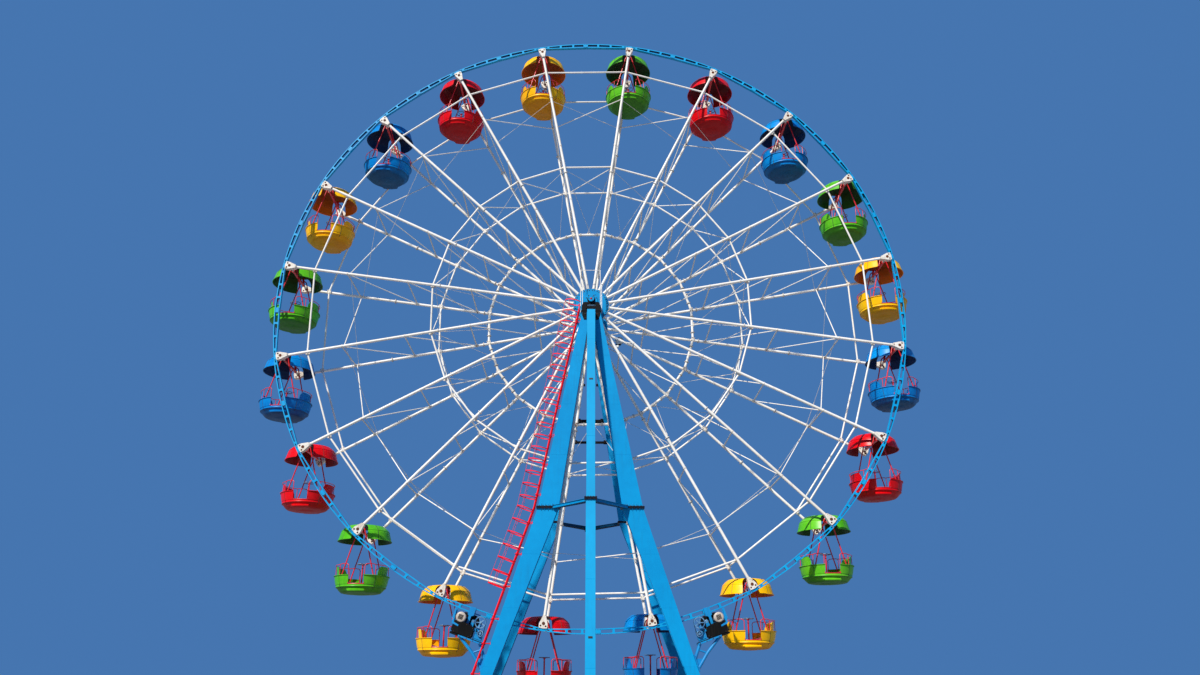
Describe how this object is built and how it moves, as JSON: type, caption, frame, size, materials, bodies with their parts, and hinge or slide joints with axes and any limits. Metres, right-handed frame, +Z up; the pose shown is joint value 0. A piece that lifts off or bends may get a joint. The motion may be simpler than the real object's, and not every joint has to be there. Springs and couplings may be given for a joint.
{
  "type": "ferris wheel",
  "caption": "Observation wheel of two spoked planes on a legged steel tower, with round open cabins that hang level from its rim, a caged ladder and two rim drives.",
  "frame": {"origin": "on the ground, midway between the feet and under the hub", "axes": "+Z up, +Y from the front to the rear along the axle, +X to the right seen from the front"},
  "size_m": [28.461, 11.52, 30.4365],
  "materials": {
    "steel_blue": "gloss paint, weathered",
    "steel_white": "satin paint with rust runs",
    "dark_steel": "dark paint, dusty",
    "ladder_red": "gloss paint, chalked",
    "drive_blue": "gloss paint, oily dust",
    "cabin_green": "glossy moulded shell",
    "cabin_red": "glossy moulded shell",
    "cabin_blue": "glossy moulded shell",
    "cabin_yellow": "glossy moulded shell"
  },
  "bodies": {
    "tower": {"rear_left_leg": "steel_blue", "rear_right_leg": "steel_blue", "rear_strut": "steel_blue", "rear_knee_tie": "steel_blue", "rear_bearing": "dark_steel", "front_left_leg": "steel_blue", "front_right_leg": "steel_blue", "front_strut": "steel_blue", "front_knee_tie": "steel_blue", "front_bearing": "dark_steel", "ladder": "ladder_red", "left_drive": "drive_blue", "right_drive": "drive_blue"},
    "wheel": {"hub_drum": "steel_blue", "rim": "steel_blue", "front_outer_ties": "steel_white", "rear_outer_ties": "steel_white", "front_middle_ties": "steel_white", "rear_middle_ties": "steel_white", "inner_ring": "steel_white", "spoke_frame_01": "steel_white", "spoke_frame_02": "steel_white", "spoke_frame_03": "steel_white", "spoke_frame_04": "steel_white", "spoke_frame_05": "steel_white", "spoke_frame_06": "steel_white", "spoke_frame_07": "steel_white", "spoke_frame_08": "steel_white", "spoke_frame_09": "steel_white", "spoke_frame_10": "steel_white", "spoke_frame_11": "steel_white", "spoke_frame_12": "steel_white", "spoke_frame_13": "steel_white", "spoke_frame_14": "steel_white", "spoke_frame_15": "steel_white", "spoke_frame_16": "steel_white", "spoke_frame_17": "steel_white", "spoke_frame_18": "steel_white", "spoke_frame_19": "steel_white", "spoke_frame_20": "steel_white"},
    "hanging_cabin_01": {"cabin_01": "cabin_green"},
    "hanging_cabin_02": {"cabin_02": "cabin_red"},
    "hanging_cabin_03": {"cabin_03": "cabin_blue"},
    "hanging_cabin_04": {"cabin_04": "cabin_green"},
    "hanging_cabin_05": {"cabin_05": "cabin_yellow"},
    "hanging_cabin_06": {"cabin_06": "cabin_blue"},
    "hanging_cabin_07": {"cabin_07": "cabin_red"},
    "hanging_cabin_08": {"cabin_08": "cabin_green"},
    "hanging_cabin_09": {"cabin_09": "cabin_yellow"},
    "hanging_cabin_10": {"cabin_10": "cabin_blue"},
    "hanging_cabin_11": {"cabin_11": "cabin_red"},
    "hanging_cabin_12": {"cabin_12": "cabin_yellow"},
    "hanging_cabin_13": {"cabin_13": "cabin_green"},
    "hanging_cabin_14": {"cabin_14": "cabin_red"},
    "hanging_cabin_15": {"cabin_15": "cabin_blue"},
    "hanging_cabin_16": {"cabin_16": "cabin_green"},
    "hanging_cabin_17": {"cabin_17": "cabin_yellow"},
    "hanging_cabin_18": {"cabin_18": "cabin_blue"},
    "hanging_cabin_19": {"cabin_19": "cabin_red"},
    "hanging_cabin_20": {"cabin_20": "cabin_yellow"}
  },
  "joints": [
    {"name": "wheel_turn", "type": "hinge", "parent": "tower", "child": "wheel", "pos_m": [0, 0, 16.9], "axis": [0, 1, 0], "continuous": true},
    {"name": "cabin_01_hang", "type": "hinge", "parent": "wheel", "child": "hanging_cabin_01", "pos_m": [1.77532, 0, 30.03053], "axis": [0, 1, 0], "continuous": true},
    {"name": "cabin_02_hang", "type": "hinge", "parent": "wheel", "child": "hanging_cabin_02", "pos_m": [5.74598, 0, 28.83927], "axis": [0, 1, 0], "continuous": true},
    {"name": "cabin_03_hang", "type": "hinge", "parent": "wheel", "child": "hanging_cabin_03", "pos_m": [9.15419, 0, 26.47931], "axis": [0, 1, 0], "continuous": true},
    {"name": "cabin_04_hang", "type": "hinge", "parent": "wheel", "child": "hanging_cabin_04", "pos_m": [11.66632, 0, 23.18167], "axis": [0, 1, 0], "continuous": true},
    {"name": "cabin_05_hang", "type": "hinge", "parent": "wheel", "child": "hanging_cabin_05", "pos_m": [13.03648, 0, 19.26913], "axis": [0, 1, 0], "continuous": true},
    {"name": "cabin_06_hang", "type": "hinge", "parent": "wheel", "child": "hanging_cabin_06", "pos_m": [13.13053, 0, 15.12468], "axis": [0, 1, 0], "continuous": true},
    {"name": "cabin_07_hang", "type": "hinge", "parent": "wheel", "child": "hanging_cabin_07", "pos_m": [11.93927, 0, 11.15402], "axis": [0, 1, 0], "continuous": true},
    {"name": "cabin_08_hang", "type": "hinge", "parent": "wheel", "child": "hanging_cabin_08", "pos_m": [9.57931, 0, 7.74581], "axis": [0, 1, 0], "continuous": true},
    {"name": "cabin_09_hang", "type": "hinge", "parent": "wheel", "child": "hanging_cabin_09", "pos_m": [6.28167, 0, 5.23368], "axis": [0, 1, 0], "continuous": true},
    {"name": "cabin_10_hang", "type": "hinge", "parent": "wheel", "child": "hanging_cabin_10", "pos_m": [2.36913, 0, 3.86352], "axis": [0, 1, 0], "continuous": true},
    {"name": "cabin_11_hang", "type": "hinge", "parent": "wheel", "child": "hanging_cabin_11", "pos_m": [-1.77532, 0, 3.76947], "axis": [0, 1, 0], "continuous": true},
    {"name": "cabin_12_hang", "type": "hinge", "parent": "wheel", "child": "hanging_cabin_12", "pos_m": [-5.74598, 0, 4.96073], "axis": [0, 1, 0], "continuous": true},
    {"name": "cabin_13_hang", "type": "hinge", "parent": "wheel", "child": "hanging_cabin_13", "pos_m": [-9.15419, 0, 7.32069], "axis": [0, 1, 0], "continuous": true},
    {"name": "cabin_14_hang", "type": "hinge", "parent": "wheel", "child": "hanging_cabin_14", "pos_m": [-11.66632, 0, 10.61833], "axis": [0, 1, 0], "continuous": true},
    {"name": "cabin_15_hang", "type": "hinge", "parent": "wheel", "child": "hanging_cabin_15", "pos_m": [-13.03648, 0, 14.53087], "axis": [0, 1, 0], "continuous": true},
    {"name": "cabin_16_hang", "type": "hinge", "parent": "wheel", "child": "hanging_cabin_16", "pos_m": [-13.13053, 0, 18.67532], "axis": [0, 1, 0], "continuous": true},
    {"name": "cabin_17_hang", "type": "hinge", "parent": "wheel", "child": "hanging_cabin_17", "pos_m": [-11.93927, 0, 22.64598], "axis": [0, 1, 0], "continuous": true},
    {"name": "cabin_18_hang", "type": "hinge", "parent": "wheel", "child": "hanging_cabin_18", "pos_m": [-9.57931, 0, 26.05419], "axis": [0, 1, 0], "continuous": true},
    {"name": "cabin_19_hang", "type": "hinge", "parent": "wheel", "child": "hanging_cabin_19", "pos_m": [-6.28167, 0, 28.56632], "axis": [0, 1, 0], "continuous": true},
    {"name": "cabin_20_hang", "type": "hinge", "parent": "wheel", "child": "hanging_cabin_20", "pos_m": [-2.36913, 0, 29.93648], "axis": [0, 1, 0], "continuous": true}
  ],
  "couplings": [
    {"joint": "cabin_01_hang", "follows": "wheel_turn", "ratio": -1},
    {"joint": "cabin_02_hang", "follows": "wheel_turn", "ratio": -1},
    {"joint": "cabin_03_hang", "follows": "wheel_turn", "ratio": -1},
    {"joint": "cabin_04_hang", "follows": "wheel_turn", "ratio": -1},
    {"joint": "cabin_05_hang", "follows": "wheel_turn", "ratio": -1},
    {"joint": "cabin_06_hang", "follows": "wheel_turn", "ratio": -1},
    {"joint": "cabin_07_hang", "follows": "wheel_turn", "ratio": -1},
    {"joint": "cabin_08_hang", "follows": "wheel_turn", "ratio": -1},
    {"joint": "cabin_09_hang", "follows": "wheel_turn", "ratio": -1},
    {"joint": "cabin_10_hang", "follows": "wheel_turn", "ratio": -1},
    {"joint": "cabin_11_hang", "follows": "wheel_turn", "ratio": -1},
    {"joint": "cabin_12_hang", "follows": "wheel_turn", "ratio": -1},
    {"joint": "cabin_13_hang", "follows": "wheel_turn", "ratio": -1},
    {"joint": "cabin_14_hang", "follows": "wheel_turn", "ratio": -1},
    {"joint": "cabin_15_hang", "follows": "wheel_turn", "ratio": -1},
    {"joint": "cabin_16_hang", "follows": "wheel_turn", "ratio": -1},
    {"joint": "cabin_17_hang", "follows": "wheel_turn", "ratio": -1},
    {"joint": "cabin_18_hang", "follows": "wheel_turn", "ratio": -1},
    {"joint": "cabin_19_hang", "follows": "wheel_turn", "ratio": -1},
    {"joint": "cabin_20_hang", "follows": "wheel_turn", "ratio": -1}
  ]
}
